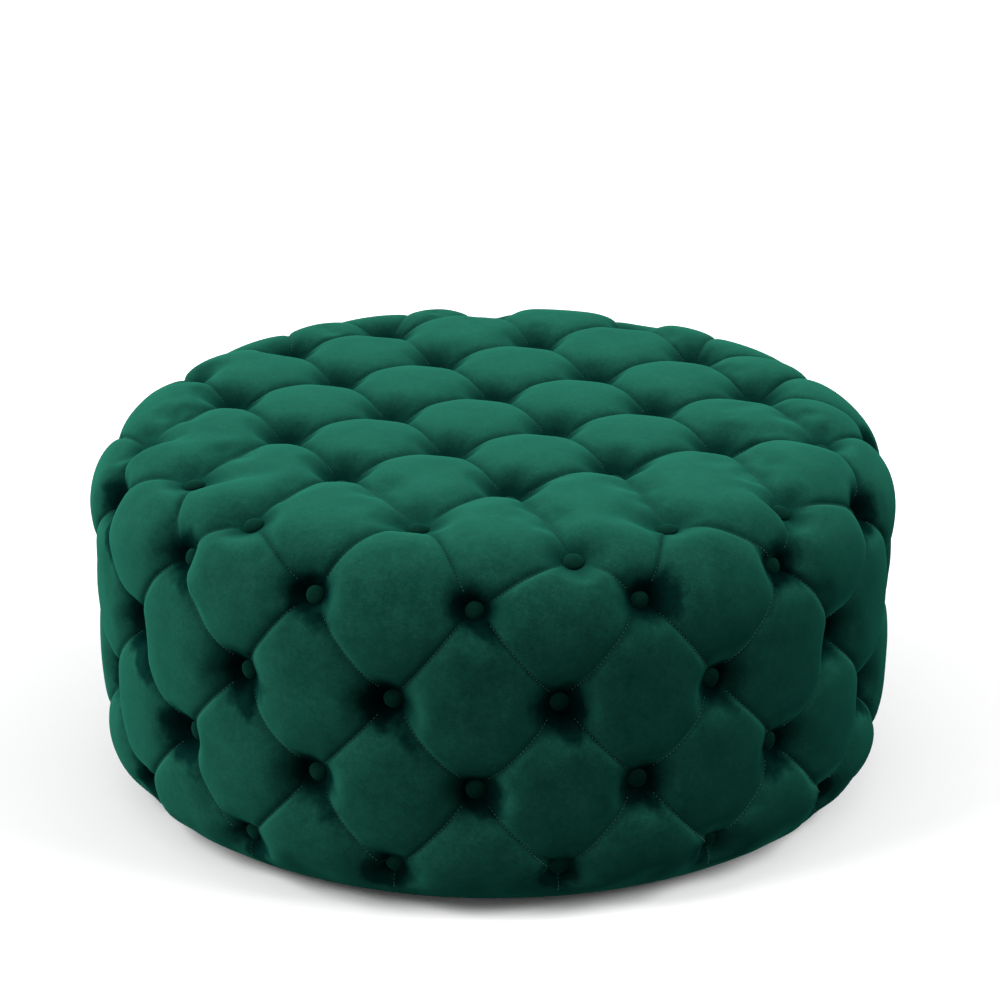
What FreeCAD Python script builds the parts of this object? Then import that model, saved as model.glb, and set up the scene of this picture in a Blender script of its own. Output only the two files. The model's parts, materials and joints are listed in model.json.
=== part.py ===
import FreeCAD, Part
import math
import os
from FreeCAD import Vector

# Round ottoman, deep button-tufted all over, with a closed wooden frame inside.
# Millimetres, +Z up. The origin is on the floor under the centre; the front faces -Y.
# Azimuths are in degrees from the front (-Y) towards +X.

os.makedirs("parts", exist_ok=True)

# ---------------------------------------------------------------- driving dimensions
outer_diameter = 915.0
height = 420.0
rim_rounding = 95.0            # radius of the rounded edge between top and side
foot_rounding = 77.0           # radius where the side rolls in under the base
base_radius = 371.0            # where the roll under the base ends

columns = 15                   # buttons in each ring round the side
button_circle = 418.0          # radius of the button seats on the side
row_heights = {2: 352.0, 3: 247.0, 4: 148.0, 5: 57.0}
even_row_azimuth = -73.6       # one column of rows 2 and 4; rows 3 and 5 lie half a step on

diamond_half = 95.0            # half the diagonal of a diamond on the top
lattice_turn = -14.4           # degrees, turn of the diamonds about the vertical
lattice_centre = (-25.0, 3.0)
top_seat_depth = 30.0          # button seats below the top of the pillows

button_diameter = 23.0
button_dome = 5.0
button_edge = 2.0
shank_diameter = 15.0
shank_plate = 1.2
eye_radius = 2.2
eye_wire = 0.5
fit_gap = 0.1
tie_end_gap = 0.6
twine_radius = 0.9

velvet = 2.0                   # cover with its backing
batting_gap = 0.4
batting_outer = velvet + batting_gap
batting_inner = 9.0
batting_hem = 18.0             # lower edge of the batting above the floor
foam_outer = batting_inner + 0.4

pocket_floor_radius = 13.0
pocket_mouth_radius = 40.0

floor_gap = 10.0               # underside of the wooden base above the floor
ring_radius = 391.5
base_ring_inner = 285.0
base_ring_thick = 18.0
top_ring_inner = 325.0
top_ring_thick = 18.0
deck_thick = 12.0
deck_top = 337.0
panel_thick = 4.0
panel_gap = 0.3
post_count = 6
post_width = 45.0
post_depth = 32.0
rail_width = 44.0
rail_height = 22.0

vent_radius = 15.0
vent_circle = 110.0
vents = 4

screw_radius = 2.0
screw_head_radius = 4.2
screw_head_height = 2.6
screw_clearance = 0.1
screw_length = 45.0
deck_screw_length = 26.0
rail_screw_length = 34.0
post_screw_half_angle = 1.8    # degrees, each side of a post's middle
rail_screw_half_angle = 2.0
rail_screw_inset = 22.0        # outward from the inner edge of the base ring
rail_overlap = 48.0            # how far the base rails run onto the ring
deck_screw_circle = 350.0

washer_radius = 9.0
washer_thick = 1.0
washer_bore_gap = 0.2
tie_tail = 1.0                 # twine showing past its washer
tie_clearance = 1.2            # room round the twine in its hole
rim_tie_radius = 372.0         # staples on the deck that hold the rim's twine
row_two_tie_radius = 384.0

staple_width = 10.0
staple_wire = 0.8
staple_leg = 7.0
cover_staple_circle = 355.0
cover_staple_count = 60
cover_staple_start = 3.0
dust_staple_circle = 338.0
dust_staple_count = 36
dust_staple_start = 5.0
panel_staples_per_column = 3
panel_staple_start = 2.0
panel_staple_heights = (18.0, 316.0)  # into the base ring and the top ring
panel_seam_heights = (90.0, 130.0, 195.0, 240.0)
panel_seam_side = 2.0          # degrees, each side of the joint between the panels
panel_seam_half = 0.2          # half the gap between the panels

hem_inner = 343.0              # inner edge of the cover turned under the base
tack_strip_inner = 349.0
tack_strip_outer = 361.0
tack_strip_thick = 0.8
dust_cover_thick = 0.5
glide_circle = 325.0
glide_count = 6
glide_radius = 12.0
glide_nail_radius = 1.2
glide_nail_length = 14.0
glide_nail_head = 4.0          # height of the nail's head, sunk in the glide
glide_turn = 15.0              # degrees past the posts
glide_edge = 2.0
nail_clearance = 0.05
padding_gap = 0.4              # foam above the staples and beside the panel
foam_hem = 12.0                # lower edge of the side foam above the floor

# ---------------------------------------------------------------- derived sizes
outer_radius = outer_diameter / 2
flat_radius = outer_radius - rim_rounding
rim_centre_z = height - rim_rounding
step = 360.0 / columns
panel_inner = ring_radius + panel_gap
panel_outer = panel_inner + panel_thick
base_top = floor_gap + base_ring_thick
deck_bottom = deck_top - deck_thick
top_ring_bottom = deck_bottom - top_ring_thick
seat_offset = outer_radius - button_circle
first_post = even_row_azimuth + step / 4
hem_bottom = floor_gap - velvet
rail_turn = lattice_turn + 45.0

# The top diamonds, counted in half diagonals from the centre of one pillow:
# a to the right, b towards the front. Each pair is a button.
top_points = [(1, 0), (-1, 0), (0, 1), (0, -1),
              (2, 1), (2, -1), (-2, 1), (-2, -1),
              (1, 2), (1, -2), (-1, 2), (-1, -2),
              (3, 0), (-3, 0), (0, -3)]

# The last ring of the top, where the diamonds meet the rim: each button's azimuth, its
# distance from the axis measured over the top and down the rounding, and its depth.
rim_buttons = [(-80.4, 398, 20), (-60.6, 376, 20), (-40.6, 394, 20), (-13.5, 322, 20),
               (13.3, 404, 20), (31.6, 364, 20), (52.8, 404, 20), (82, 374, 24),
               (109, 316, 30), (135, 328, 30), (155, 383, 30), (182, 390, 30),
               (203, 340, 30), (224.5, 350, 30), (246, 392, 26)]


# ---------------------------------------------------------------- helpers
def save(name, shapes):
    """Write one sub-part: a solid, or a group of separate solids."""
    group = list(shapes) if isinstance(shapes, (list, tuple)) else [shapes]
    shape = group[0] if len(group) == 1 else Part.makeCompound(group)
    shape.exportStep("parts/" + name + ".step")


def polar(radius, azimuth, z):
    a = math.radians(azimuth)
    return Vector(radius * math.sin(a), -radius * math.cos(a), z)


def ring(inner, outer, z_low, z_high):
    solid = Part.makeCylinder(outer, z_high - z_low, Vector(0, 0, z_low))
    if inner > 0:
        solid = solid.cut(Part.makeCylinder(inner, z_high - z_low + 2, Vector(0, 0, z_low - 1)))
    return solid


def block(size_x, size_y, z_low, z_high, centre_y=0.0):
    return Part.makeBox(size_x, size_y, z_high - z_low,
                        Vector(-size_x / 2, centre_y - size_y / 2, z_low))


def turned(shape, azimuth):
    """Turn a piece made at the front (-Y) round to an azimuth."""
    copy = shape.copy()
    copy.rotate(Vector(0, 0, 0), Vector(0, 0, 1), azimuth)
    return copy


def stood_on(shape, point, direction):
    """Place a piece made at the origin, pointing along +Z, at a point and direction."""
    copy = shape.copy()
    copy.Placement = FreeCAD.Placement(point, FreeCAD.Rotation(Vector(0, 0, 1), direction))
    return copy


def rod(start, end, radius):
    along = end.sub(start)
    return Part.makeCylinder(radius, along.Length, start, along)


def body(offset, z_low, z_high):
    """The ottoman's rounded drum, pulled in by an offset, between two heights."""
    r_out = outer_radius - offset
    r_rim = rim_rounding - offset
    r_foot = foot_rounding - offset
    waist = base_radius + r_foot
    s = math.sqrt(0.5)
    top_left = Vector(0, 0, height - offset)
    rim_start = Vector(flat_radius, 0, height - offset)
    rim_middle = Vector(flat_radius + r_rim * s, 0, rim_centre_z + r_rim * s)
    rim_end = Vector(r_out, 0, rim_centre_z)
    foot_start = Vector(waist, 0, foot_rounding)
    foot_middle = Vector(base_radius + r_foot * s, 0, foot_rounding - r_foot * s)
    foot_end = Vector(base_radius, 0, offset)
    bottom = Vector(0, 0, offset)
    edges = [Part.LineSegment(top_left, rim_start).toShape(),
             Part.Arc(rim_start, rim_middle, rim_end).toShape(),
             Part.LineSegment(rim_end, foot_start).toShape(),
             Part.Arc(foot_start, foot_middle, foot_end).toShape(),
             Part.LineSegment(foot_end, bottom).toShape(),
             Part.LineSegment(bottom, top_left).toShape()]
    face = Part.Face(Part.Wire(edges))
    solid = face.revolve(Vector(0, 0, 0), Vector(0, 0, 1), 360)
    return solid.common(ring(0, outer_diameter, z_low, z_high))


# ---------------------------------------------------------------- button places
def on_drum(radius, azimuth, depth):
    """A point at a distance from the axis measured over the top and the rim,
    sunk by a depth, with the outward direction there."""
    if radius <= flat_radius:
        return polar(radius, azimuth, height - depth), Vector(0, 0, 1)
    angle = (radius - flat_radius) / rim_rounding
    reach = rim_rounding - depth
    point = polar(flat_radius + reach * math.sin(angle), azimuth,
                  rim_centre_z + reach * math.cos(angle))
    direction = polar(math.sin(angle), azimuth, math.cos(angle))
    return point, direction


def lattice_place(a, b):
    turn = math.radians(lattice_turn)
    right = Vector(math.cos(turn), math.sin(turn), 0)
    front = Vector(math.sin(turn), -math.cos(turn), 0)
    flat = Vector(lattice_centre[0], lattice_centre[1], 0)
    flat = flat.add(right.multiply(a * diamond_half)).add(front.multiply(b * diamond_half))
    azimuth = math.degrees(math.atan2(flat.x, -flat.y))
    return on_drum(flat.Length, azimuth, top_seat_depth)


def row_azimuths(row):
    shift = 0.0 if row % 2 == 0 else step / 2
    return [even_row_azimuth + shift + k * step for k in range(columns)]


def row_places(row):
    """Seats of one ring of side buttons; those of row 2 lean out over the rim."""
    z = row_heights[row]
    places = []
    for azimuth in row_azimuths(row):
        lean = math.atan2(max(z - rim_centre_z, 0.0), button_circle - flat_radius)
        direction = polar(math.cos(lean), azimuth, math.sin(lean))
        places.append((polar(button_circle, azimuth, z), direction))
    return places


top_places = [lattice_place(a, b) for a, b in top_points]
rim_places = [on_drum(radius, azimuth, depth) for azimuth, radius, depth in rim_buttons]
side_places = {row: row_places(row) for row in row_heights}
all_places = top_places + rim_places
for row in side_places:
    all_places = all_places + side_places[row]


def pockets(grow):
    """Conical hollows in which the buttons sit, larger by a margin all round."""
    depth = seat_offset + 6.0
    slope = math.atan2(pocket_mouth_radius - pocket_floor_radius, depth)
    widen = grow / math.cos(slope) + grow * math.tan(slope)
    cone = Part.makeCone(pocket_floor_radius + widen - grow * math.tan(slope),
                         pocket_mouth_radius + widen, depth + grow, Vector(0, 0, -grow))
    return Part.makeCompound([stood_on(cone, p, d) for p, d in all_places])


# ---------------------------------------------------------------- wooden frame
def screw(length):
    shank = Part.makeCylinder(screw_radius, length, Vector(0, 0, -length))
    head = Part.makeCone(screw_radius, screw_head_radius, screw_head_height,
                         Vector(0, 0, -screw_head_height))
    return shank.fuse(head).removeSplitter()


def screw_hole(length):
    """Clearance for a screw, just larger than it."""
    shank = Part.makeCylinder(screw_radius + screw_clearance, length + screw_clearance,
                              Vector(0, 0, -length - screw_clearance))
    head = Part.makeCone(screw_radius + screw_clearance, screw_head_radius + screw_clearance,
                         screw_head_height + screw_clearance,
                         Vector(0, 0, -screw_head_height - screw_clearance))
    mouth = Part.makeCylinder(screw_head_radius + screw_clearance, 1.0)
    return shank.fuse([head, mouth])


def post_screw_points():
    """Two screws in the end of each post."""
    points = []
    radius = ring_radius - post_depth / 2 - 1.0
    for k in range(post_count):
        azimuth = first_post + k * 360.0 / post_count
        for side in (-1, 1):
            points.append(polar(radius, azimuth + side * post_screw_half_angle, 0))
    return points


def posts():
    outer_face = math.sqrt(ring_radius ** 2 - (post_width / 2) ** 2)
    shapes = []
    for k in range(post_count):
        post = block(post_width, post_depth, base_top, top_ring_bottom,
                     -(outer_face - post_depth / 2))
        shapes.append(turned(post, first_post + k * 360.0 / post_count))
    return shapes


def halved_rails(length_radius, z_low):
    """Two rails crossing at the centre in a half-lap joint."""
    half = rail_height / 2
    z_high = z_low + rail_height
    drum = ring(0, length_radius, z_low - 1, z_high + 1)
    long_rail = Part.makeBox(2 * length_radius, rail_width, rail_height,
                             Vector(-length_radius, -rail_width / 2, z_low)).common(drum)
    cross_rail = turned(long_rail, 90)
    lower_lap = Part.makeBox(rail_width, rail_width, half,
                             Vector(-rail_width / 2, -rail_width / 2, z_low))
    upper_lap = Part.makeBox(rail_width, rail_width, half,
                             Vector(-rail_width / 2, -rail_width / 2, z_low + half))
    return (turned(long_rail.cut(upper_lap), rail_turn),
            turned(cross_rail.cut(lower_lap), rail_turn))


def side_panels(holes):
    """Bent hardboard wrapped round the frame in two halves, meeting on two posts."""
    wall = ring(panel_inner, panel_outer, floor_gap, deck_top)
    half = Part.makeBox(4 * outer_radius, 2 * outer_radius, height,
                        Vector(-2 * outer_radius, -2 * outer_radius - panel_seam_half, 0))
    front = turned(half, first_post + 90)
    rear = turned(half, first_post - 90)
    return wall.common(front).cut(holes), wall.common(rear).cut(holes)


# ---------------------------------------------------------------- fasteners and ties
def staple():
    """One wire staple, crown up, legs down."""
    half = staple_width / 2
    crown = Part.makeBox(staple_width, staple_wire, staple_wire, Vector(-half, -staple_wire / 2, 0))
    legs = [Part.makeBox(staple_wire, staple_wire, staple_leg,
                         Vector(x, -staple_wire / 2, -staple_leg))
            for x in (-half, half - staple_wire)]
    return crown.fuse(legs).removeSplitter()


def ring_of_staples(radius, count, z, start):
    """Staples driven from below, on a circle."""
    shapes = []
    for k in range(count):
        azimuth = start + k * 360.0 / count
        one = staple()
        one.rotate(Vector(0, 0, 0), Vector(1, 0, 0), 180)
        one.translate(Vector(0, -radius, z))
        shapes.append(turned(one, azimuth))
    return shapes


def deck_staple(tie_end):
    """A staple driven into the deck, over the end of a rim button's twine."""
    one = staple()
    one.translate(Vector(0, -math.hypot(tie_end.x, tie_end.y), deck_top))
    return turned(one, math.degrees(math.atan2(tie_end.x, -tie_end.y)))


def panel_staple(azimuth, z):
    one = staple()
    one.rotate(Vector(0, 0, 0), Vector(1, 0, 0), 90)
    one.translate(Vector(0, -panel_outer, z))
    return turned(one, azimuth)


def button_cap():
    """Domed, cloth-covered button; its seat is at the origin, facing +Z."""
    radius = button_diameter / 2
    rise = button_dome
    edge = Vector(radius, 0, button_edge)
    crown = Vector(0, 0, button_edge + rise)
    sphere = (radius ** 2 + rise ** 2) / (2 * rise)
    middle_x = radius * 0.55
    middle = Vector(middle_x, 0, crown.z - sphere + math.sqrt(sphere ** 2 - middle_x ** 2))
    edges = [Part.LineSegment(Vector(0, 0, 0), Vector(radius - 1, 0, 0)).toShape(),
             Part.LineSegment(Vector(radius - 1, 0, 0), edge).toShape(),
             Part.Arc(edge, middle, crown).toShape(),
             Part.LineSegment(crown, Vector(0, 0, 0)).toShape()]
    dome = Part.Face(Part.Wire(edges)).revolve(Vector(0, 0, 0), Vector(0, 0, 1), 360)
    return dome.cut(Part.makeCylinder(shank_diameter / 2 + fit_gap, shank_plate + fit_gap))


def button_shank():
    """Metal plate let into the back of the button, with its wire eye."""
    plate = Part.makeCylinder(shank_diameter / 2, shank_plate)
    eye = Part.makeTorus(eye_radius, eye_wire, Vector(0, 0, -eye_radius + eye_wire / 2),
                         Vector(1, 0, 0))
    return plate.fuse(eye).removeSplitter()


eye_depth = 2 * eye_radius + eye_wire + 0.3


def eye_end(place):
    """Where the twine leaves a button's eye."""
    point, direction = place
    return point.sub(Vector(direction).multiply(eye_depth))


def top_tie(place):
    start = eye_end(place)
    return start, Vector(start.x, start.y, deck_bottom - washer_thick - tie_tail)


def rim_tie(place, radius):
    start = eye_end(place)
    azimuth = math.degrees(math.atan2(start.x, -start.y))
    return start, polar(radius, azimuth, deck_top + staple_wire + tie_end_gap)


def side_tie(place):
    start = eye_end(place)
    azimuth = math.degrees(math.atan2(start.x, -start.y))
    return start, polar(panel_inner - washer_thick - tie_tail, azimuth, start.z)


# ---------------------------------------------------------------- build
top_ties = [top_tie(p) for p in top_places]
rim_ties = [rim_tie(p, rim_tie_radius) for p in rim_places]
row_two_ties = [rim_tie(p, row_two_tie_radius) for p in side_places[2]]
side_ties = [side_tie(p) for row in (3, 4, 5) for p in side_places[row]]

top_tie_holes = [rod(s, e, twine_radius + tie_clearance) for s, e in top_ties]
rim_tie_holes = [rod(s, e, twine_radius + tie_clearance) for s, e in rim_ties + row_two_ties]
side_tie_holes = [rod(s, e, twine_radius + tie_clearance) for s, e in side_ties]
tie_holes = Part.makeCompound(top_tie_holes + rim_tie_holes + side_tie_holes)

eye_room = Part.makeCylinder(eye_radius + eye_wire + 0.5, eye_depth + 1.0,
                             Vector(0, 0, -eye_depth - 0.5))
eye_rooms = Part.makeCompound([stood_on(eye_room, p, d) for p, d in all_places])

down = Vector(0, 0, -1)
up = Vector(0, 0, 1)
base_screws = [stood_on(screw(screw_length), Vector(p.x, p.y, floor_gap), down)
               for p in post_screw_points()]
base_screw_holes = [stood_on(screw_hole(screw_length), Vector(p.x, p.y, floor_gap), down)
                    for p in post_screw_points()]
ring_screws = [stood_on(screw(screw_length), Vector(p.x, p.y, deck_bottom), up)
               for p in post_screw_points()]
ring_screw_holes = [stood_on(screw_hole(screw_length), Vector(p.x, p.y, deck_bottom), up)
                    for p in post_screw_points()]
deck_screw_spots = [polar(deck_screw_circle,
                          first_post + (k + 0.5) * 360.0 / (2 * post_count), deck_top)
                    for k in range(2 * post_count)]
deck_screws = [stood_on(screw(deck_screw_length), p, up) for p in deck_screw_spots]
deck_screw_holes = [stood_on(screw_hole(deck_screw_length), p, up) for p in deck_screw_spots]
rail_screw_spots = [polar(base_ring_inner + rail_screw_inset,
                          rail_turn + quarter * 90 + side * rail_screw_half_angle, floor_gap)
                    for quarter in range(4) for side in (-1, 1)]
rail_screws = [stood_on(screw(rail_screw_length), p, down) for p in rail_screw_spots]
rail_screw_holes = [stood_on(screw_hole(rail_screw_length), p, down) for p in rail_screw_spots]

cover_staples = ring_of_staples(cover_staple_circle, cover_staple_count,
                                hem_bottom - tack_strip_thick, cover_staple_start)
dust_staple_z = floor_gap - dust_cover_thick
dust_staples = ring_of_staples(dust_staple_circle, dust_staple_count,
                               dust_staple_z, dust_staple_start)
panel_staple_spots = []
for k in range(panel_staples_per_column * columns):
    along = even_row_azimuth + panel_staple_start + k * step / panel_staples_per_column
    for z in panel_staple_heights:
        panel_staple_spots.append((along, z))
for seam in (first_post, first_post + 180):
    for z in panel_seam_heights:
        for side in (-panel_seam_side, panel_seam_side):
            panel_staple_spots.append((seam + side, z))
panel_staples = [panel_staple(a, z) for a, z in panel_staple_spots]
rim_staples = [deck_staple(e) for s, e in rim_ties + row_two_ties]

glide_spots = [polar(glide_circle, first_post + glide_turn + k * 360.0 / glide_count, 0)
               for k in range(glide_count)]
glide_top = floor_gap - dust_cover_thick
glides = []
glide_nails = []
glide_nail_holes = []
for spot in glide_spots:
    foot = Part.makeCylinder(glide_radius, glide_top, spot)
    foot = foot.makeFillet(glide_edge, [e for e in foot.Edges if e.BoundBox.ZMax < 0.1])
    nail_start = Vector(spot.x, spot.y, glide_nail_head)
    nail_length = glide_top - glide_nail_head + glide_nail_length
    bore = Part.makeCylinder(glide_nail_radius + nail_clearance, glide_top, nail_start)
    glides.append(foot.cut(bore))
    glide_nails.append(Part.makeCylinder(glide_nail_radius, nail_length, nail_start))
    glide_nail_holes.append(Part.makeCylinder(glide_nail_radius + nail_clearance,
                                              nail_length + nail_clearance, nail_start))

# wooden frame
base_ring = ring(base_ring_inner, ring_radius, floor_gap, base_top)
base_cuts = base_screw_holes + rail_screw_holes + glide_nail_holes
base_ring = base_ring.cut(Part.makeCompound(base_cuts))
base_ring = base_ring.cut(Part.makeCompound(cover_staples + dust_staples))
base_ring = base_ring.cut(Part.makeCompound(panel_staples))
save("base_ring", base_ring)

rail_long, rail_cross = halved_rails(base_ring_inner + rail_overlap, base_top)
rail_cuts = Part.makeCompound(rail_screw_holes)
save("base_rail_long", rail_long.cut(rail_cuts))
save("base_rail_cross", rail_cross.cut(rail_cuts))

post_cuts = Part.makeCompound(base_screw_holes + ring_screw_holes + panel_staples)
for index, post in enumerate(posts()):
    save("post_%d" % (index + 1), post.cut(post_cuts))

centre_post = block(post_width, post_width, base_top + rail_height, deck_bottom - rail_height)
save("centre_post", turned(centre_post, rail_turn))

top_ring = ring(top_ring_inner, ring_radius, top_ring_bottom, deck_bottom)
top_ring = top_ring.cut(Part.makeCompound(ring_screw_holes + deck_screw_holes))
save("top_ring", top_ring.cut(Part.makeCompound(panel_staples)))

deck_long, deck_cross = halved_rails(top_ring_inner, deck_bottom - rail_height)
save("deck_rail_long", deck_long)
save("deck_rail_cross", deck_cross)

vent_holes = [Part.makeCylinder(vent_radius, deck_thick + 2,
                                polar(vent_circle, rail_turn + 45 + k * 90, deck_bottom - 1))
              for k in range(vents)]
deck_board = ring(0, ring_radius, deck_bottom, deck_top)
deck_board = deck_board.cut(Part.makeCompound(top_tie_holes + vent_holes))
deck_board = deck_board.cut(Part.makeCompound(deck_screw_holes))
deck_board = deck_board.cut(Part.makeCompound(rim_staples))
save("deck_board", deck_board)

panel_cuts = Part.makeCompound(side_tie_holes + panel_staples)
panel_front, panel_rear = side_panels(panel_cuts)
save("side_panel_front", panel_front)
save("side_panel_rear", panel_rear)

# padding
foam_room = pockets(foam_outer)
deck_foam = body(foam_outer, deck_top + staple_wire + padding_gap, height).cut(foam_room)
save("deck_foam", deck_foam.cut(tie_holes).cut(eye_rooms))
side_foam = body(foam_outer, foam_hem, deck_top)
side_foam = side_foam.cut(ring(0, panel_outer + staple_wire + padding_gap, 0, height)).cut(foam_room)
save("side_foam", side_foam.cut(tie_holes).cut(eye_rooms))

batting_skin = body(batting_outer, 0, height).cut(pockets(batting_outer))
batting_core = body(batting_inner, -1, height).cut(pockets(batting_inner))
batting = batting_skin.cut(batting_core).cut(eye_rooms).cut(tie_holes)
save("top_batting", batting.common(ring(0, outer_diameter, deck_top, height)))
save("side_batting", batting.common(ring(0, outer_diameter, batting_hem, deck_top - 0.2)))

# cover, turned under the base
outer_skin = body(0, hem_bottom, height).cut(pockets(0))
inner_skin = body(velvet, floor_gap, height).cut(pockets(velvet))
hem_opening = ring(0, hem_inner, 0, floor_gap + 1)
cover = outer_skin.cut(inner_skin).cut(hem_opening)
cover = cover.cut(eye_rooms).cut(Part.makeCompound(cover_staples))
save("velvet_cover", cover)

# buttons with their shanks, twine and anchors
cap = button_cap()
shank = button_shank()
save("top_buttons", [stood_on(cap, p, d) for p, d in top_places])
save("rim_buttons", [stood_on(cap, p, d) for p, d in rim_places])
for row in side_places:
    save("side_buttons_row_%d" % row, [stood_on(cap, p, d) for p, d in side_places[row]])
save("button_shanks", [stood_on(shank, p, d) for p, d in all_places])

save("top_button_twine", [rod(s, e, twine_radius) for s, e in top_ties])
save("rim_button_twine", [rod(s, e, twine_radius) for s, e in rim_ties + row_two_ties])
save("side_button_twine", [rod(s, e, twine_radius) for s, e in side_ties])
washer = ring(twine_radius + washer_bore_gap, washer_radius, 0, washer_thick)
save("top_tie_washers", [stood_on(washer, Vector(s.x, s.y, deck_bottom), down) for s, e in top_ties])
side_washers = []
for s, e in side_ties:
    inward = Vector(-s.x, -s.y, 0).normalize()
    azimuth = math.degrees(math.atan2(s.x, -s.y))
    side_washers.append(stood_on(washer, polar(panel_inner - washer_bore_gap, azimuth, s.z), inward))
save("side_tie_washers", side_washers)
save("rim_tie_staples", rim_staples)

# underside
tack_strip = ring(tack_strip_inner, tack_strip_outer, hem_bottom - tack_strip_thick, hem_bottom)
save("tack_strip", tack_strip.cut(Part.makeCompound(cover_staples)))
dust_cover = ring(0, hem_inner - 1.0, floor_gap - dust_cover_thick, floor_gap)
dust_cover = dust_cover.cut(Part.makeCompound(glide_nail_holes + dust_staples))
save("dust_cover", dust_cover)
save("cover_staples", cover_staples)
save("dust_cover_staples", dust_staples)
save("panel_staples", panel_staples)
save("glides", glides)
save("glide_nails", glide_nails)

# screws
save("base_screws", base_screws)
save("top_ring_screws", ring_screws)
save("deck_screws", deck_screws)
save("rail_screws", rail_screws)
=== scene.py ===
import json
import math

import bmesh
import bpy
import numpy as np
from mathutils import Matrix, Vector


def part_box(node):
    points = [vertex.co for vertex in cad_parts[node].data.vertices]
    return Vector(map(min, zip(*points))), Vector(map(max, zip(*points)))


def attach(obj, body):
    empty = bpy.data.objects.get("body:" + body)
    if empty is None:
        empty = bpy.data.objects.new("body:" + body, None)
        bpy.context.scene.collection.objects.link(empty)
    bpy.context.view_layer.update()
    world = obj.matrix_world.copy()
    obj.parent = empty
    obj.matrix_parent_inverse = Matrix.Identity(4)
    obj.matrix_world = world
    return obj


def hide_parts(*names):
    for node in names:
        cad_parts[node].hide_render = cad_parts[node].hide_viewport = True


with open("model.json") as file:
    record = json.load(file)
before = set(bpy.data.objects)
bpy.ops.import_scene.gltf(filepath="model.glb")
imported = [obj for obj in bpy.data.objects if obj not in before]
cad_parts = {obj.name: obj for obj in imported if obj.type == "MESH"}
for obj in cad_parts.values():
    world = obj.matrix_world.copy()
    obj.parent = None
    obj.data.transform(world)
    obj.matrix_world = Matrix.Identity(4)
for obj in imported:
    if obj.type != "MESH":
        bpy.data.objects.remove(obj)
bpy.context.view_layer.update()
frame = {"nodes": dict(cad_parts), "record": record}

BODY = "root"

# ---------------------------------------------------------------- driving dimensions (m)
COVER_LOW, COVER_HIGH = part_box("velvet_cover")
OUTER = (COVER_HIGH.x - COVER_LOW.x) / 2
HEIGHT = COVER_HIGH.z
HEM_Z = COVER_LOW.z
RIM = 0.095                    # rounding between top and side
FOOT = 0.077                   # rounding where the side rolls under
BASE = 0.371                   # radius at which the roll under the base ends
HEM_INNER = 0.343              # and at which the turned-in margin ends
FLAT = OUTER - RIM
RIM_Z = HEIGHT - RIM
WAIST = BASE + FOOT

COLUMNS = 15
STEP = 2 * math.pi / COLUMNS
BUTTON_CIRCLE = 0.418          # radius of the button seats on the side
ROW_HEIGHTS = {2: 0.352, 3: 0.247, 4: 0.148, 5: 0.057}
EVEN_ROW_AZIMUTH = math.radians(-73.6)  # rows 3 and 5 lie half a step on

DIAMOND_HALF = 0.095           # half the diagonal of a diamond on the top
LATTICE_TURN = math.radians(-14.4)
LATTICE_CENTRE = (-0.025, 0.003)
TOP_SEAT_DEPTH = 0.030
BUTTON_RADIUS = 0.0115
BUTTON_EDGE = 0.002
BUTTON_DOME = 0.005
BUTTON_TILT = 0.05             # spread of the buttons' tilt, in radians
BUTTON_SPIN = 6.28             # each is turned by up to this about its own axis

TOP_POINTS = [(1, 0), (-1, 0), (0, 1), (0, -1),
              (2, 1), (2, -1), (-2, 1), (-2, -1),
              (1, 2), (1, -2), (-1, 2), (-1, -2),
              (3, 0), (-3, 0), (0, -3)]
# The last ring of the top: lattice place, azimuth in degrees, distance over the top and
# depth of the seat in mm.
RIM_BUTTONS = [(-4, 1, -80.4, 398, 20), (-3, 2, -60.6, 376, 20), (-2, 3, -40.6, 394, 20),
               (0, 3, -13.5, 322, 20), (2, 3, 13.3, 404, 20), (3, 2, 31.6, 364, 20),
               (4, 1, 52.8, 404, 20), (4, -1, 82, 374, 24), (3, -2, 109, 316, 30),
               (2, -3, 135, 328, 30), (1, -4, 155, 383, 30), (-1, -4, 182, 390, 30),
               (-2, -3, 203, 340, 30), (-3, -2, 224.5, 350, 30), (-4, -1, 246, 392, 26)]
OPEN_PAIRS = (0, 1, 4, 5, 13)  # pillows that run on over the rim with no seam between the pair

# ---------------------------------------------------------------- the tufted form
HALF_SEAM_STEPS = 8            # mesh divisions from a button to the middle of a seam
SEAM_EASE = 1.25               # above 1, the mesh is finer near buttons and seams
SEAM_DEPTH_TOP = 0.0115        # depth of a seam half way between two buttons
SEAM_DEPTH_SIDE = 0.0080
SEAM_DEPTH_HEM = 0.004         # the middle of a seam is no deeper than this at the hem
SEAM_HEM_SLOPE = 0.5           # a limit that grows by this share of the height above it
BACK_EASE = 0.0065             # the seams over the back of the rim are shallower by this
BACK_START = 0.18              # behind the middle, from here
BACK_FADE = 0.15               # and in full after this much more
SEAM_DIP = 2.4                 # how sharply a seam drops towards its buttons
SEAM_CREASE = 0.85             # how sharp the seams stay when the mesh is subdivided
PILLOW_POWER = 2.3             # how flat the middle of a pillow is
PILLOW_ROUND = 0.52            # how it rises from its seams: the lower, the steeper
SEAT_FLAT = 0.0085             # flat cloth under a button
SEAT_RISE = 0.045              # width over which the pillows rise round it
PILLOW_CROWN = 0.001           # the most that a pillow stands above or below the drum

HEM_RELIEF = 0.030             # height over which the pillows die away to a level hem
HEM_DEPTH = 0.003              # how far in from the drum's outline the hem lies
HEM_PLEAT_DEPTH = 0.004        # where a pleat meets the hem
MARGIN_RINGS = 6               # mesh divisions of the turned-in margin
MARGIN_LIFT = 0.0006
MARGIN_RIPPLE = 0.0004
MARGIN_RIPPLE_TURN = 1.7       # radians of ripple from one point of the hem to the next

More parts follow.
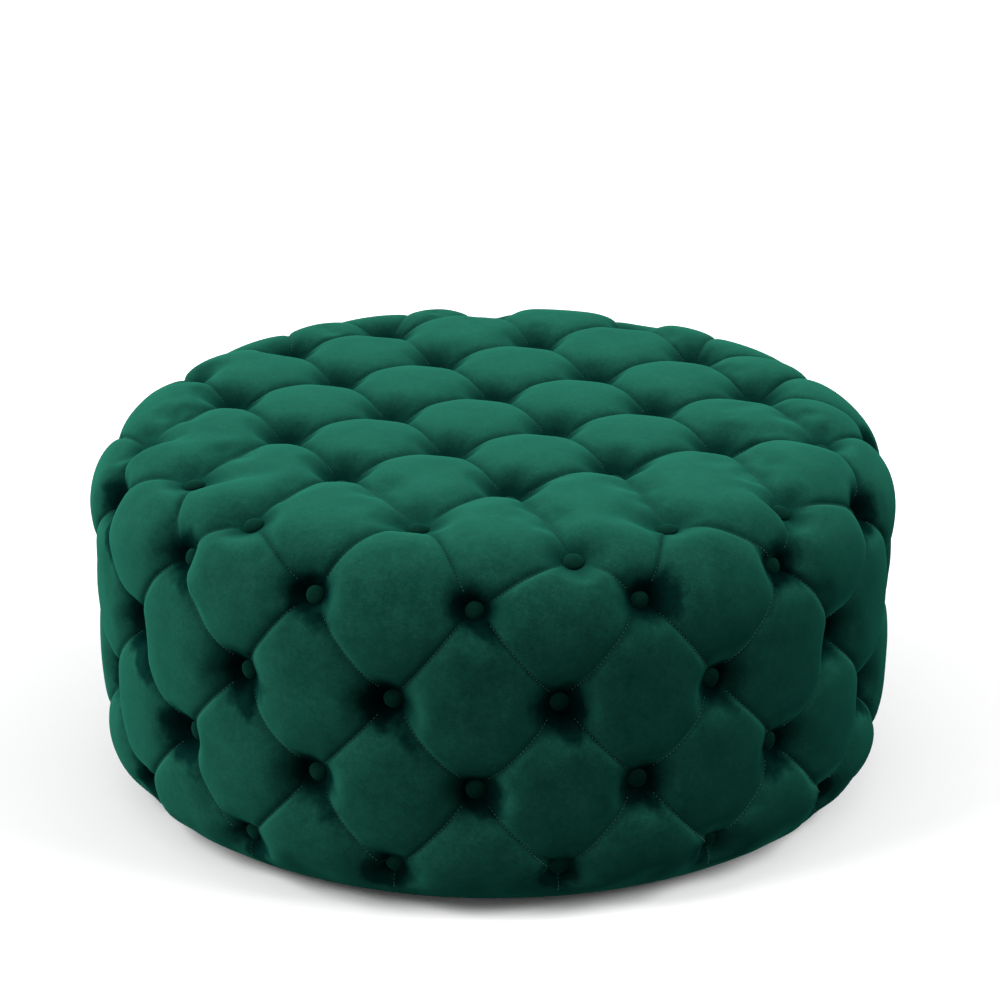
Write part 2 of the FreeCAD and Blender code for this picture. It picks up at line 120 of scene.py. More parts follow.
WRINKLE_HEIGHT = 0.0011
WRINKLE_REACH = 0.030
WRINKLE_START = 0.012          # they reach their full height this far from the button

DEEPEST = 0.040                # depth at which the painted hollow shade is darkest
SHADE_RING = 0.027             # the painted shade reaches this far round a button
SHADE_REACH = 0.085            # and this far along the seam beside it
SHADE_FADE = 0.060             # length over which it fades out along the seam
SHADE_BELOW = 0.009            # it lies this far below the seam
SEAM_SLANT = (0.69, 0.72)      # direction of that seam: to the right, and down

SIM_FRAMES = 22
SIM_PRESSURE = 4.0
SIM_EXTRA_CLOTH = 0.022        # share by which the cloth is larger than its drawn shape
SIM_CAP = 0.014                # the most that the simulation may move a point
SWELL_LIMIT = 0.002            # beyond this the pillows flatten
SWELL_HELD = 0.85              # share of the excess that is taken back
HEM_STILL = 0.012              # cloth below this height is stapled down and stays put
HEM_FREE = 0.055               # and above this one it moves freely

scene = bpy.context.scene
scene.view_settings.view_transform = "Standard"
rng = np.random.default_rng(15)


# ---------------------------------------------------------------- the drum's outline
S_RIM = FLAT + RIM * math.pi / 2
SIDE_LENGTH = math.hypot(RIM_Z - FOOT, OUTER - WAIST)
S_FOOT = S_RIM + SIDE_LENGTH
SIDE_NORMAL = ((RIM_Z - FOOT) / SIDE_LENGTH, -(OUTER - WAIST) / SIDE_LENGTH)


def outline(s):
    """Radius, height and outward normal of the drum at a distance over its surface."""
    s = np.asarray(s, float)
    a = np.clip((s - FLAT) / RIM, 0, math.pi / 2)
    t = np.clip((s - S_RIM) / SIDE_LENGTH, 0, 1)
    b = np.clip((s - S_FOOT) / FOOT, 0, math.pi / 2)
    r = np.where(s < FLAT, s, FLAT + RIM * np.sin(a))
    z = np.where(s < FLAT, HEIGHT, RIM_Z + RIM * np.cos(a))
    nr, nz = np.where(s < FLAT, 0, np.sin(a)), np.where(s < FLAT, 1, np.cos(a))
    side = s > S_RIM
    r = np.where(side, OUTER + (WAIST - OUTER) * t, r)
    z = np.where(side, RIM_Z + (FOOT - RIM_Z) * t, z)
    nr, nz = np.where(side, SIDE_NORMAL[0], nr), np.where(side, SIDE_NORMAL[1], nz)
    foot = s > S_FOOT
    r = np.where(foot, BASE + FOOT * np.cos(b), r)
    z = np.where(foot, FOOT - FOOT * np.sin(b), z)
    nr, nz = np.where(foot, np.cos(b), nr), np.where(foot, -np.sin(b), nz)
    return r, z, nr, nz


def to_drum(points):
    """Azimuth and distance over the surface of the drum's point nearest each point."""
    p = np.asarray(points, float)
    r = np.hypot(p[:, 0], p[:, 1])
    z = p[:, 2]
    azimuth = np.arctan2(p[:, 0], -p[:, 1])
    s = S_RIM + (RIM_Z - z) / (RIM_Z - FOOT) * SIDE_LENGTH
    on_rim = z > RIM_Z
    s = np.where(on_rim, FLAT + RIM * np.arctan2(r - FLAT, np.maximum(z - RIM_Z, 1e-6)), s)
    s = np.where(on_rim & (r <= FLAT), r, s)
    s = np.where(z < FOOT, S_FOOT + FOOT * np.arctan2(FOOT - z, np.maximum(r - BASE, 1e-6)), s)
    return azimuth, s


def on_surface(azimuth, s, depth):
    """Points below the drum's surface, and the outward normals there."""
    r, z, nr, nz = outline(s)
    sa, ca = np.sin(azimuth), -np.cos(azimuth)
    normal = np.stack([nr * sa, nr * ca, nz * np.ones_like(sa)], -1)
    point = np.stack([r * sa, r * ca, z * np.ones_like(sa)], -1)
    return point - normal * np.asarray(depth)[..., None], normal


# ---------------------------------------------------------------- buttons and cells
def lattice_flat(a, b):
    """Azimuth and distance from the middle of a place in the top's lattice of diamonds."""
    right = np.array([math.cos(LATTICE_TURN), math.sin(LATTICE_TURN)])
    front = np.array([math.sin(LATTICE_TURN), -math.cos(LATTICE_TURN)])
    x, y = np.array(LATTICE_CENTRE) + DIAMOND_HALF * (a * right + b * front)
    return math.atan2(x, -y), math.hypot(x, y)


def make_corners():
    """Every button seat: its point and its outward direction."""
    seats = {}
    for a, b in TOP_POINTS:
        azimuth, s = lattice_flat(a, b)
        point, normal = on_surface(np.array([azimuth]), np.array([s]), np.array([TOP_SEAT_DEPTH]))
        seats[("top", a, b)] = (point[0], normal[0])
    for a, b, azimuth, s, depth in RIM_BUTTONS:
        point, normal = on_surface(np.array([math.radians(azimuth)]), np.array([s / 1000]),
                                   np.array([depth / 1000]))
        seats[("top", a, b)] = (point[0], normal[0])
    for row, z in ROW_HEIGHTS.items():
        lean = math.atan2(max(z - RIM_Z, 0.0), BUTTON_CIRCLE - FLAT)
        for k in range(COLUMNS):
            azimuth = EVEN_ROW_AZIMUTH + (k + 0.5 * (row % 2)) * STEP
            out = np.array([math.sin(azimuth), -math.cos(azimuth), 0.0])
            direction = out * math.cos(lean) + np.array([0, 0, math.sin(lean)])
            seats[("row", row, k)] = (out * BUTTON_CIRCLE + np.array([0, 0, z]), direction)
    return seats


SEATS = make_corners()
HEM_S = S_FOOT + FOOT * math.asin((FOOT - HEM_Z) / FOOT)


def corner_base():
    """The corners of the pillows, which are the button seats and the pleat ends at the hem:
    each one's place on the outer drum, and how deep the cover is drawn in there."""
    keys = list(SEATS)
    points = np.array([SEATS[k][0] for k in keys])
    azimuth, s = to_drum(points)
    base = on_surface(azimuth, s, np.zeros(len(s)))[0]
    depth = np.linalg.norm(base - points, axis=1)
    table = {k: (base[i], depth[i]) for i, k in enumerate(keys)}
    for k in range(COLUMNS):
        azimuth = EVEN_ROW_AZIMUTH + (k + 0.5) * STEP
        point = on_surface(np.array([azimuth]), np.array([HEM_S]), np.zeros(1))[0]
        table[("hem", 0, k)] = (point[0], HEM_PLEAT_DEPTH)
    return table


CORNERS = corner_base()


def make_cells():
    """The pillows: lists of corners in order round each one."""
    cells = []
    ring = [entry[:2] for entry in RIM_BUTTONS]
    known = set(TOP_POINTS) | set(ring)
    used = set()
    for i, p in enumerate(ring):
        q = ring[(i + 1) % COLUMNS]
        below = ("row", 2, i)
        beside = abs(p[0] - q[0]) == 1 and abs(p[1] - q[1]) == 1
        if beside and i not in OPEN_PAIRS:
            cells.append([("top", *p), below, ("top", *q)])
        elif beside:
            centre = min([(p[0], q[1]), (q[0], p[1])], key=lambda c: math.hypot(*c))
            used.add(centre)
            far_p = (2 * centre[0] - p[0], 2 * centre[1] - p[1])
            far_q = (2 * centre[0] - q[0], 2 * centre[1] - q[1])
            cells.append([("top", *p), below, ("top", *q), ("top", *far_p), ("top", *far_q)])
        else:
            shared = min([(p[0] + dx, p[1] + dy) for dx in (-1, 1) for dy in (-1, 1)
                          if (p[0] + dx, p[1] + dy) in set(TOP_POINTS)
                          and abs(p[0] + dx - q[0]) == 1 and abs(p[1] + dy - q[1]) == 1],
                         key=lambda c: math.hypot(*c))
            cells.append([("top", *p), below, ("top", *q), ("top", *shared)])
    for a in range(-4, 5):
        for b in range(-4, 5):
            around = [(a + 1, b), (a, b + 1), (a - 1, b), (a, b - 1)]
            if (a + b) % 2 == 0 and (a, b) not in used and all(c in known for c in around):
                cells.append([("top", *c) for c in around])
    for k in range(COLUMNS):
        n = (k + 1) % COLUMNS
        cells.append([("top", *ring[n]), ("row", 2, n), ("row", 3, k), ("row", 2, k)])
        cells.append([("row", 2, n), ("row", 3, n), ("row", 4, n), ("row", 3, k)])
        cells.append([("row", 3, k), ("row", 4, n), ("row", 5, k), ("row", 4, k)])
        cells.append([("row", 4, n), ("row", 5, n), ("hem", 0, n), ("hem", 0, k), ("row", 5, k)])
    return cells


CELLS = make_cells()


# ---------------------------------------------------------------- mesh of the cover
def ease(x):
    """Spaces mesh lines closer together near a button."""
    return x ** SEAM_EASE


def seam_depth(t, corner_depth, base):
    """Depth of a seam at t from a button (0) to its middle (1)."""
    top_share = np.clip((base[..., 2] - RIM_Z) / RIM, 0, 1)
    middle = SEAM_DEPTH_SIDE + (SEAM_DEPTH_TOP - SEAM_DEPTH_SIDE) * top_share
    middle = middle - BACK_EASE * top_share * smooth((base[..., 1] - BACK_START) / BACK_FADE)
    above_hem = np.maximum(0.0, base[..., 2] - HEM_Z)
    middle = np.minimum(middle, above_hem * SEAM_HEM_SLOPE + SEAM_DEPTH_HEM)
    return middle + (corner_depth - middle) * (1 - np.clip(t, 0, 1)) ** SEAM_DIP


def pillow_rise(x):
    """Height of a pillow from its seam (0) to its middle (1)."""
    return (1 - (1 - x) ** PILLOW_POWER) ** PILLOW_ROUND


def smooth(x):
    """A soft step from 0 to 1."""
    x = np.clip(x, 0, 1)
    return x * x * (3 - 2 * x)


class CoverMesh:
    """Collects the cover's vertices once each, and its faces."""

    def __init__(self):
        self.index = {}
        self.points = []
        self.fixed = []
        self.faces = []

    def vertex(self, key, point, fixed):
        if key not in self.index:
            self.index[key] = len(self.points)
            self.points.append(point)
            self.fixed.append(fixed)
        return self.index[key]

    def seam_key(self, a, b, i, n):
        """One name for the i-th point of 2n steps from corner a to corner b."""
        if i == 0:
            return ("corner", a)
        if i == 2 * n:
            return ("corner", b)
        return ("seam", a, b, i) if a < b else ("seam", b, a, 2 * n - i)


def wrinkles(direction_angle, distance, seed):
    """Small folds that run out from a button between its seams."""
    waves = 2.0 * math.pi * (1.4 + 1.2 * seed)
    envelope = np.clip(distance / WRINKLE_START, 0, 1) * np.exp(-(distance / WRINKLE_REACH) ** 2)
    return WRINKLE_HEIGHT * envelope * np.sin(waves * direction_angle + 9.0 * seed)


def build_cover():
    """The drawn cover: each pillow in patches, one from each corner to its middle."""
    mesh = CoverMesh()
    n = HALF_SEAM_STEPS
    steps = ease(np.linspace(0, 1, n + 1))
    for number, cell in enumerate(CELLS):
        count = len(cell)
        base = np.array([CORNERS[c][0] for c in cell])
        depth = np.array([CORNERS[c][1] for c in cell])
        centre = base.mean(0)
        crown = PILLOW_CROWN * rng.uniform(-1, 1)
        for c in range(count):
            nxt, prv = (c + 1) % count, (c - 1) % count
            mid_next, mid_prev = (base[c] + base[nxt]) / 2, (base[c] + base[prv]) / 2
            u, v = np.meshgrid(steps, steps, indexing="ij")
            flat = (base[c] * ((1 - u) * (1 - v))[..., None] + mid_next * (u * (1 - v))[..., None]
                    + centre * (u * v)[..., None] + mid_prev * ((1 - u) * v)[..., None])
            azimuth, s = to_drum(flat.reshape(-1, 3))
            place, normal = on_surface(azimuth, s, np.zeros(len(s)))
            place = place.reshape(n + 1, n + 1, 3)
            normal = normal.reshape(n + 1, n + 1, 3)
            away = np.linalg.norm(place - place[0, 0], axis=2)
            seam_half = np.linalg.norm(place[n, 0] - place[0, 0])
            valley = seam_depth((away - SEAT_FLAT) / (seam_half - SEAT_FLAT), depth[c], place)
            rise = pillow_rise(u) * pillow_rise(v) * smooth((away - SEAT_FLAT) / SEAT_RISE)
            fold = wrinkles(np.arctan2(v, u), away, rng.uniform())
            sink = valley * (1 - rise) - crown * rise - fold * np.clip(rise * 4, 0, 1)
            level = smooth((place[..., 2] - HEM_Z) / HEM_RELIEF)
            sink = HEM_DEPTH + (sink - HEM_DEPTH) * level
            points = place - normal * sink[..., None]
            ids = np.zeros((n + 1, n + 1), int)
            for i in range(n + 1):
                for j in range(n + 1):
                    if j == 0:
                        key = mesh.seam_key(cell[c], cell[nxt], i, n)
                    elif i == 0:
                        key = mesh.seam_key(cell[c], cell[prv], j, n)
                    elif i == n and j == n:
                        key = ("centre", number)
                    elif i == n:
                        key = ("spoke", number, c, j)
                    elif j == n:
                        key = ("spoke", number, prv, i)
                    else:
                        key = ("inner", number, c, i, j)
                    ids[i, j] = mesh.vertex(key, points[i, j], i == 0 or j == 0)
            for i in range(n):
                for j in range(n):
                    mesh.faces.append((ids[i, j], ids[i + 1, j], ids[i + 1, j + 1], ids[i, j + 1]))
    return mesh


def mesh_object(name, points, faces, rounded=True):
    """A new object from points and faces, shaded smooth unless told otherwise."""
    data = bpy.data.meshes.new(name)
    data.from_pydata([tuple(p) for p in points], [], [tuple(int(i) for i in f) for f in faces])
    data.validate()
    data.update()
    if rounded:
        data.polygons.foreach_set("use_smooth", [True] * len(data.polygons))
    piece = bpy.data.objects.new(name, data)
    scene.collection.objects.link(piece)
    return piece


def coordinates(piece):
    """The points of a piece as rows."""
    co = np.empty(len(piece.data.vertices) * 3)
    piece.data.vertices.foreach_get("co", co)
    return co.reshape(-1, 3)


def set_coordinates(piece, co):
    """Moves the points of a piece."""
    piece.data.vertices.foreach_set("co", np.asarray(co, float).ravel())
    piece.data.update()


def apply_modifiers(piece):
    """Makes what the modifiers do final."""
    graph = bpy.context.evaluated_depsgraph_get()
    baked = bpy.data.meshes.new_from_object(piece.evaluated_get(graph), depsgraph=graph)
    piece.modifiers.clear()
    old = piece.data
    piece.data = baked
    bpy.data.meshes.remove(old)


def inflate(piece, fixed):
    """Cloth simulation: the seams stay sewn down while the padding swells the pillows."""
    start = coordinates(piece)
    group = piece.vertex_groups.new(name="sewn")
    group.add([int(i) for i in np.flatnonzero(fixed)], 1.0, "REPLACE")
    cloth = piece.modifiers.new("Cloth", "CLOTH")
    settings = cloth.settings
    settings.quality = 6
    settings.mass = 0.25
    settings.air_damping = 4.0
    settings.tension_stiffness = 25
    settings.compression_stiffness = 25
    settings.shear_stiffness = 12
    settings.bending_stiffness = 4.0
    settings.use_pressure = True
    settings.uniform_pressure_force = SIM_PRESSURE
    settings.vertex_group_mass = "sewn"
    settings.shrink_min = -SIM_EXTRA_CLOTH
    settings.shrink_max = -SIM_EXTRA_CLOTH
    settings.effector_weights.gravity = 0
    cloth.collision_settings.use_collision = False
    cloth.collision_settings.use_self_collision = False
    cloth.point_cache.frame_start = 1
    cloth.point_cache.frame_end = SIM_FRAMES
    for step in range(1, SIM_FRAMES + 1):
        scene.frame_set(step)
    apply_modifiers(piece)
    scene.frame_set(1)
    moved = coordinates(piece) - start
    length = np.linalg.norm(moved, axis=1)
    share = np.where(length > 0, np.minimum(1.0, SIM_CAP / np.maximum(length, 1e-9)), 1.0)
    share *= smooth((start[:, 2] - HEM_STILL) / (HEM_FREE - HEM_STILL))
    set_coordinates(piece, start + moved * share[:, None])
    piece.vertex_groups.clear()


def keep_inside(piece):
    """Draws the cloth back where it swells past the drum, and lets none hang below the hem."""
    co = coordinates(piece)
    azimuth, s = to_drum(co)
    base, normal = on_surface(azimuth, s, np.zeros(len(s)))
    out = ((co - base) * normal).sum(1)
    excess = np.maximum(out - SWELL_LIMIT, 0)
    co = co - normal * (excess * SWELL_HELD)[:, None]
    co[:, 2] = np.maximum(co[:, 2], HEM_Z)
    set_coordinates(piece, co)


def sharpen_seams(piece, mesh):
    """Marks the seam edges so that subdivision keeps them as creases."""
    fixed = np.array(mesh.fixed)
    edges = np.empty(len(piece.data.edges) * 2, int)
    piece.data.edges.foreach_get("vertices", edges)
    edges = edges.reshape(-1, 2)
    crease = (fixed[edges[:, 0]] & fixed[edges[:, 1]]).astype(float) * SEAM_CREASE
    layer = piece.data.attributes.new("crease_edge", "FLOAT", "EDGE")
    layer.data.foreach_set("value", crease)


def turn_under(mesh):
    """Carries the hem on under the base, as a flat turned-in margin."""
    n = HALF_SEAM_STEPS
    loop = []
    for k in range(COLUMNS):
        a, b = ("hem", 0, k), ("hem", 0, (k + 1) % COLUMNS)
        loop += [mesh.index[mesh.seam_key(a, b, i, n)] for i in range(2 * n)]
    points = list(mesh.points)
    rows = [loop]
    for ring in range(1, MARGIN_RINGS + 1):
        share = ring / MARGIN_RINGS
        row = []
        for place, i in enumerate(loop):
            p = np.array(mesh.points[i])
            azimuth = math.atan2(p[0], -p[1])
            r = math.hypot(p[0], p[1])
            radius = r + (HEM_INNER - r) * share
            wave = math.sin(place * MARGIN_RIPPLE_TURN) * math.sin(math.pi * share)
            z = HEM_Z + MARGIN_LIFT + MARGIN_RIPPLE * wave
            points.append(np.array([radius * math.sin(azimuth), -radius * math.cos(azimuth), z]))
            row.append(len(points) - 1)
            mesh.fixed.append(True)
        rows.append(row)
    for upper, lower in zip(rows, rows[1:]):
        for i in range(len(upper)):
            j = (i + 1) % len(upper)
            mesh.faces.append((upper[i], upper[j], lower[j], lower[i]))
    mesh.points = points
    return loop


def face_outward(piece):
    """Turns every face of a piece to look away from its inside."""
    bm = bmesh.new()
    bm.from_mesh(piece.data)
    bmesh.ops.recalc_face_normals(bm, faces=bm.faces)
    top = max(bm.faces, key=lambda f: f.calc_center_median().z)
    if top.normal.z < 0:
        bmesh.ops.reverse_faces(bm, faces=bm.faces)
    bm.to_mesh(piece.data)
    bm.free()


def make_cover():
    """The velvet cover, the padding under it and the thread of its seams."""
    mesh = build_cover()
    skin_count, skin_faces = len(mesh.points), list(mesh.faces)
    hem_loop = turn_under(mesh)
    piece = mesh_object("tufted_velvet_cover", mesh.points, mesh.faces)
    face_outward(piece)
    drawn = coordinates(piece)[:skin_count]
    inflate(piece, np.array(mesh.fixed))
    keep_inside(piece)
    padding = make_padding(deeper(drawn, coordinates(piece)[:skin_count]), skin_faces, hem_loop)
    sharpen_seams(piece, mesh)
    subdivision = piece.modifiers.new("Subdivision", "SUBSURF")
    subdivision.levels = 1
    subdivision.render_levels = 1
    apply_modifiers(piece)
    piece.data.polygons.foreach_set("use_smooth", [True] * len(piece.data.polygons))
    mark_depth(piece)
    return piece, padding, make_stitches(mesh)


def painted_button_shade(azimuth, s):
    """Painted shade beside the buttons of the side: all round each button, and under the seam that runs
    down to the right of it."""
    shade = np.zeros(len(s))
    draw = np.random.default_rng(36)
    for key, corner in CORNERS.items():
        if key[0] != "row":
            continue
        at_azimuth, at_s = to_drum(corner[0][None])
        turn = (azimuth - at_azimuth[0] + math.pi) % (2 * math.pi) - math.pi
        across, down = OUTER * turn, s - at_s[0]
        along = SEAM_SLANT[0] * across + SEAM_SLANT[1] * down
        off = SEAM_SLANT[1] * across - SEAM_SLANT[0] * down
        lean, size = draw.uniform(-0.014, 0.016), SHADE_RING * draw.uniform(0.8, 1.3)
        ring = np.exp(-((across - lean) ** 2 + down ** 2) / size ** 2)
        reach, width = SHADE_REACH * draw.uniform(0.6, 1.15), draw.uniform(0.011, 0.018)
        taper = np.clip(along / 0.010, 0, 1) * np.clip((reach - along) / SHADE_FADE, 0, 1)
        under = taper * np.exp(-((off + SHADE_BELOW) / width) ** 2)
        shade = np.maximum(shade, np.maximum(ring, draw.uniform(0.45, 1.0) * under))
    return shade


def mark_depth(piece):
    """Stores for the material how deep each point lies, and where painted shade goes beside the buttons.
    """
    co = coordinates(piece)
    azimuth, s = to_drum(co)
    base, normal = on_surface(azimuth, s, np.zeros(len(s)))
    depth = np.clip(-((co - base) * normal).sum(1), 0, DEEPEST) / DEEPEST
    layer = piece.data.attributes.new("tuft_depth", "FLOAT", "POINT")
    layer.data.foreach_set("value", depth)
    layer = piece.data.attributes.new("painted_button_shade", "FLOAT", "POINT")
    layer.data.foreach_set("value", painted_button_shade(azimuth, s))


# ---------------------------------------------------------------- padding under the cover
BATTING_START = 0.0060         # below the velvet
BATTING_THICK = 0.0040
BATTING_GAP = 0.0008           # between the batting and the foam
PANEL_OUTSIDE = 0.3967         # radius of the frame's side
DECK_TOP = 0.3380
PADDING_LOW = 0.0120           # lower edge of the padding above the floor


def sunk_copy(points, below):
    """The cover's points drawn in by a distance, but never into the frame."""
    azimuth, s = to_drum(points)
    normal = on_surface(azimuth, s, np.zeros(len(s)))[1]
    co = points - normal * below
    r = np.hypot(co[:, 0], co[:, 1])
    grow = np.where((co[:, 2] < DECK_TOP) & (r < PANEL_OUTSIDE), PANEL_OUTSIDE / r, 1.0)
    co[:, :2] *= grow[:, None]
    co[:, 2] = np.maximum(co[:, 2], PADDING_LOW)
    return co


def depth_of(points):
    """How far each point lies below the drum's outline."""
    azimuth, s = to_drum(points)
    base, normal = on_surface(azimuth, s, np.zeros(len(s)))
    return ((base - points) * normal).sum(1)


def deeper(drawn, simulated):
    """The drawn shape, let down wherever the simulated cloth lies deeper."""
    azimuth, s = to_drum(drawn)
    depth = np.maximum(depth_of(drawn), depth_of(simulated))
    return on_surface(azimuth, s, depth)[0]


def make_padding(points, faces, hem_loop):
    """Batting and foam that follow the tufted cover on its inside."""
    outer = sunk_copy(points, BATTING_START)
    inner = sunk_copy(points, BATTING_START + BATTING_THICK)
    count = len(points)
    shell = list(faces) + [tuple(i + count for i in reversed(f)) for f in faces]
    for a, b in zip(hem_loop, hem_loop[1:] + hem_loop[:1]):
        shell.append((b, a, a + count, b + count))
    batting = mesh_object("tufted_batting", np.vstack([outer, inner]), shell)
    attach(batting, BODY)
    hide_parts("top_batting", "side_batting")

    skin = sunk_copy(points, BATTING_START + BATTING_THICK + BATTING_GAP)
    rows = [hem_loop]
    extra = []
    for radius, z in ((PANEL_OUTSIDE, PADDING_LOW), (PANEL_OUTSIDE, DECK_TOP)):
        rows.append([count + len(extra) + k for k in range(len(hem_loop))])
        for i in hem_loop:
            azimuth = math.atan2(skin[i][0], -skin[i][1])
            extra.append((radius * math.sin(azimuth), -radius * math.cos(azimuth), z))
    block = list(faces)
    for upper, lower in zip(rows, rows[1:]):
        for k in range(len(upper)):
            j = (k + 1) % len(upper)
            block.append((upper[k], upper[j], lower[j], lower[k]))
    block.append(tuple(rows[-1]))
    foam = mesh_object("tufted_foam", np.vstack([skin, np.array(extra)]), block)
    face_outward(foam)
    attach(foam, BODY)
    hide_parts("deck_foam", "side_foam")
    return batting, foam


# ---------------------------------------------------------------- buttons
DOME_TURN = math.radians(72)
DOME_SHARE = 0.75              # share of the rings that make the dome
BUTTON_TUCK = 0.12             # the cloth draws in by this share behind the edge
BUTTON_UNDER = 0.0008
GATHER_HEIGHT = 0.00022
GATHER_START = 0.45
GATHERS = 18


def button_shape(rings=9, around=36):
    """One cloth-covered button facing +Z: a low dome with its cloth gathered at the edge."""
    points = []
    faces = []
    low = math.cos(DOME_TURN)
    for i in range(rings + 1):
        share = i / rings
        if share <= DOME_SHARE:
            x = share / DOME_SHARE
            radius = BUTTON_RADIUS * math.sin(x * DOME_TURN) / math.sin(DOME_TURN)
            rise = (math.cos(x * DOME_TURN) - low) / (1 - low)
            z = BUTTON_EDGE + BUTTON_DOME * rise
        else:
            x = (share - DOME_SHARE) / (1 - DOME_SHARE)
            radius = BUTTON_RADIUS * (1 - BUTTON_TUCK * x ** 2)
            z = BUTTON_EDGE * (1 - x) - BUTTON_UNDER * x
        for j in range(around):
            angle = 2 * math.pi * j / around
            gather = GATHER_HEIGHT * max(0.0, share - GATHER_START) * math.sin(angle * GATHERS)
            edge = radius + gather
            points.append((edge * math.cos(angle), edge * math.sin(angle), z))
    for i in range(rings):
        for j in range(around):
            k = (j + 1) % around
            faces.append((i * around + j, (i + 1) * around + j, (i + 1) * around + k, i * around + k))
    return np.array(points), faces


def place_frame(direction, spin):
    """Turns +Z to a direction, after a spin about it."""
    turn = Vector((0, 0, 1)).rotation_difference(Vector(direction))
    return np.array(turn.to_matrix() @ Matrix.Rotation(spin, 3, "Z"))


def make_buttons(name, keys, node):
    """The buttons at some seats, in place of one node of buttons."""
    shape, shape_faces = button_shape()
    points, faces = [], []
    for key in keys:
        seat, direction = SEATS[key]
        tilt = np.array(direction) + rng.normal(0, BUTTON_TILT, 3)
        matrix = place_frame(tilt / np.linalg.norm(tilt), rng.uniform(0, BUTTON_SPIN))
        start = len(points)
        points.extend(shape @ matrix.T + seat)
        faces.extend([tuple(i + start for i in f) for f in shape_faces])
    piece = mesh_object(name, points, faces)
    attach(piece, BODY)
    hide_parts(node)
    return piece


# ---------------------------------------------------------------- stitches
STITCH_PITCH = 0.0046
STITCH_LENGTH = 0.0026
STITCH_HALF_WIDTH = 0.00032
STITCH_PROUD = 0.0007
# Along the stitch as a share of its length, height and width as shares of the full ones.
STITCH_RINGS = ((-0.5, 0.25, 0.55), (-0.25, 1.0, 1.0), (0.25, 1.0, 1.0), (0.5, 0.25, 0.55))
# A seam is free of stitches over STITCH_CLEAR at each end. One that runs to the hem is free
# over STITCH_CLEAR at the hem, and over STITCH_HEM at its button.
STITCH_HEM = 0.004
STITCH_CLEAR = 0.026


def make_stitches(mesh):
    """The thread of the seams between the pillows. The seams stay where they are drawn, so
    the stitches fit the simulated cover too."""
    n = HALF_SEAM_STEPS
    seams = set()
    for cell in CELLS:
        for a, b in zip(cell, cell[1:] + cell[:1]):
            if not (a[0] == "hem" and b[0] == "hem"):
                seams.add((min(a, b), max(a, b)))
    points, faces = [], []
    for a, b in sorted(seams):
        line = np.array([mesh.points[mesh.index[mesh.seam_key(a, b, i, n)]]
                         for i in range(2 * n + 1)])
        along = np.concatenate([[0], np.cumsum(np.linalg.norm(np.diff(line, axis=0), axis=1))])
        total = along[-1]
        end = total - (STITCH_HEM if "hem" in (a[0], b[0]) else STITCH_CLEAR)
        for place in np.arange(STITCH_CLEAR, end, STITCH_PITCH):
            ends = np.array([[np.interp(p, along, line[:, i]) for i in range(3)]
                             for p in (place, place + STITCH_LENGTH)])
            azimuth, s = to_drum(ends)
            normal = on_surface(azimuth, s, np.zeros(2))[1].mean(0)
            run = ends[1] - ends[0]
            run = run / np.linalg.norm(run)
            side = np.cross(normal, run)
            w = STITCH_HALF_WIDTH
            middle = ends.mean(0)
            first = len(points)
            for offset, lift, half in STITCH_RINGS:
                centre = middle + run * offset * STITCH_LENGTH + normal * STITCH_PROUD * lift
                points += [centre + side * w * half, centre + normal * w * half,
                           centre - side * w * half, centre - normal * w * half]
            for ring in range(3):
                for k in range(4):
                    i, j = first + 4 * ring + k, first + 4 * ring + (k + 1) % 4
                    faces.append((i, j, j + 4, i + 4))
            faces.append((first + 3, first + 2, first + 1, first))
            faces.append((first + 12, first + 13, first + 14, first + 15))
    piece = mesh_object("seam_stitches", points, faces)
    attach(piece, BODY)
    return piece


# ---------------------------------------------------------------- materials
def new_material(name):
    """A material with its node tree and its main shader."""
    material = bpy.data.materials.new(name)
    material.use_nodes = True
    tree = material.node_tree
    shader = tree.nodes["Principled BSDF"]
    return material, tree, shader


def noise(tree, coords, scale, detail=3.0, roughness=0.55):
    """A noise value over the object."""
    node = tree.nodes.new("ShaderNodeTexNoise")
    node.inputs["Scale"].default_value = scale
    node.inputs["Detail"].default_value = detail
    node.inputs["Roughness"].default_value = roughness
    tree.links.new(coords, node.inputs["Vector"])
    return node.outputs["Fac"]


def ramp(tree, value, stops):
    """A colour for each value, between the given stops."""
    node = tree.nodes.new("ShaderNodeValToRGB")
    while len(node.color_ramp.elements) < len(stops):
        node.color_ramp.elements.new(0.5)
    for element, (position, colour) in zip(node.color_ramp.elements, stops):
        element.position = position
        element.color = (*colour, 1)
    tree.links.new(value, node.inputs["Fac"])
    return node.outputs["Color"]


def mix(tree, kind, factor, a, b):
    """Two colours mixed; each input is a number, a colour or another node's output."""
    node = tree.nodes.new("ShaderNodeMix")
    node.data_type = "RGBA"
    node.blend_type = kind
    for socket, value in ((node.inputs[0], factor), (node.inputs[6], a), (node.inputs[7], b)):
        if isinstance(value, (int, float)):
            socket.default_value = value
        elif isinstance(value, tuple):
            socket.default_value = (*value, 1)
        else:
            tree.links.new(value, socket)
    return node.outputs[2]


def bump(tree, value, strength, distance, normal=None):
    """A normal roughened by a value, on top of another normal if one is given."""
    node = tree.nodes.new("ShaderNodeBump")
    node.inputs["Strength"].default_value = strength
    node.inputs["Distance"].default_value = distance
    tree.links.new(value, node.inputs["Height"])
    if normal is not None:
        tree.links.new(normal, node.inputs["Normal"])
    return node.outputs["Normal"]


def object_coords(tree):
    """Coordinates that stay with the object."""
    return tree.nodes.new("ShaderNodeTexCoord").outputs["Object"]


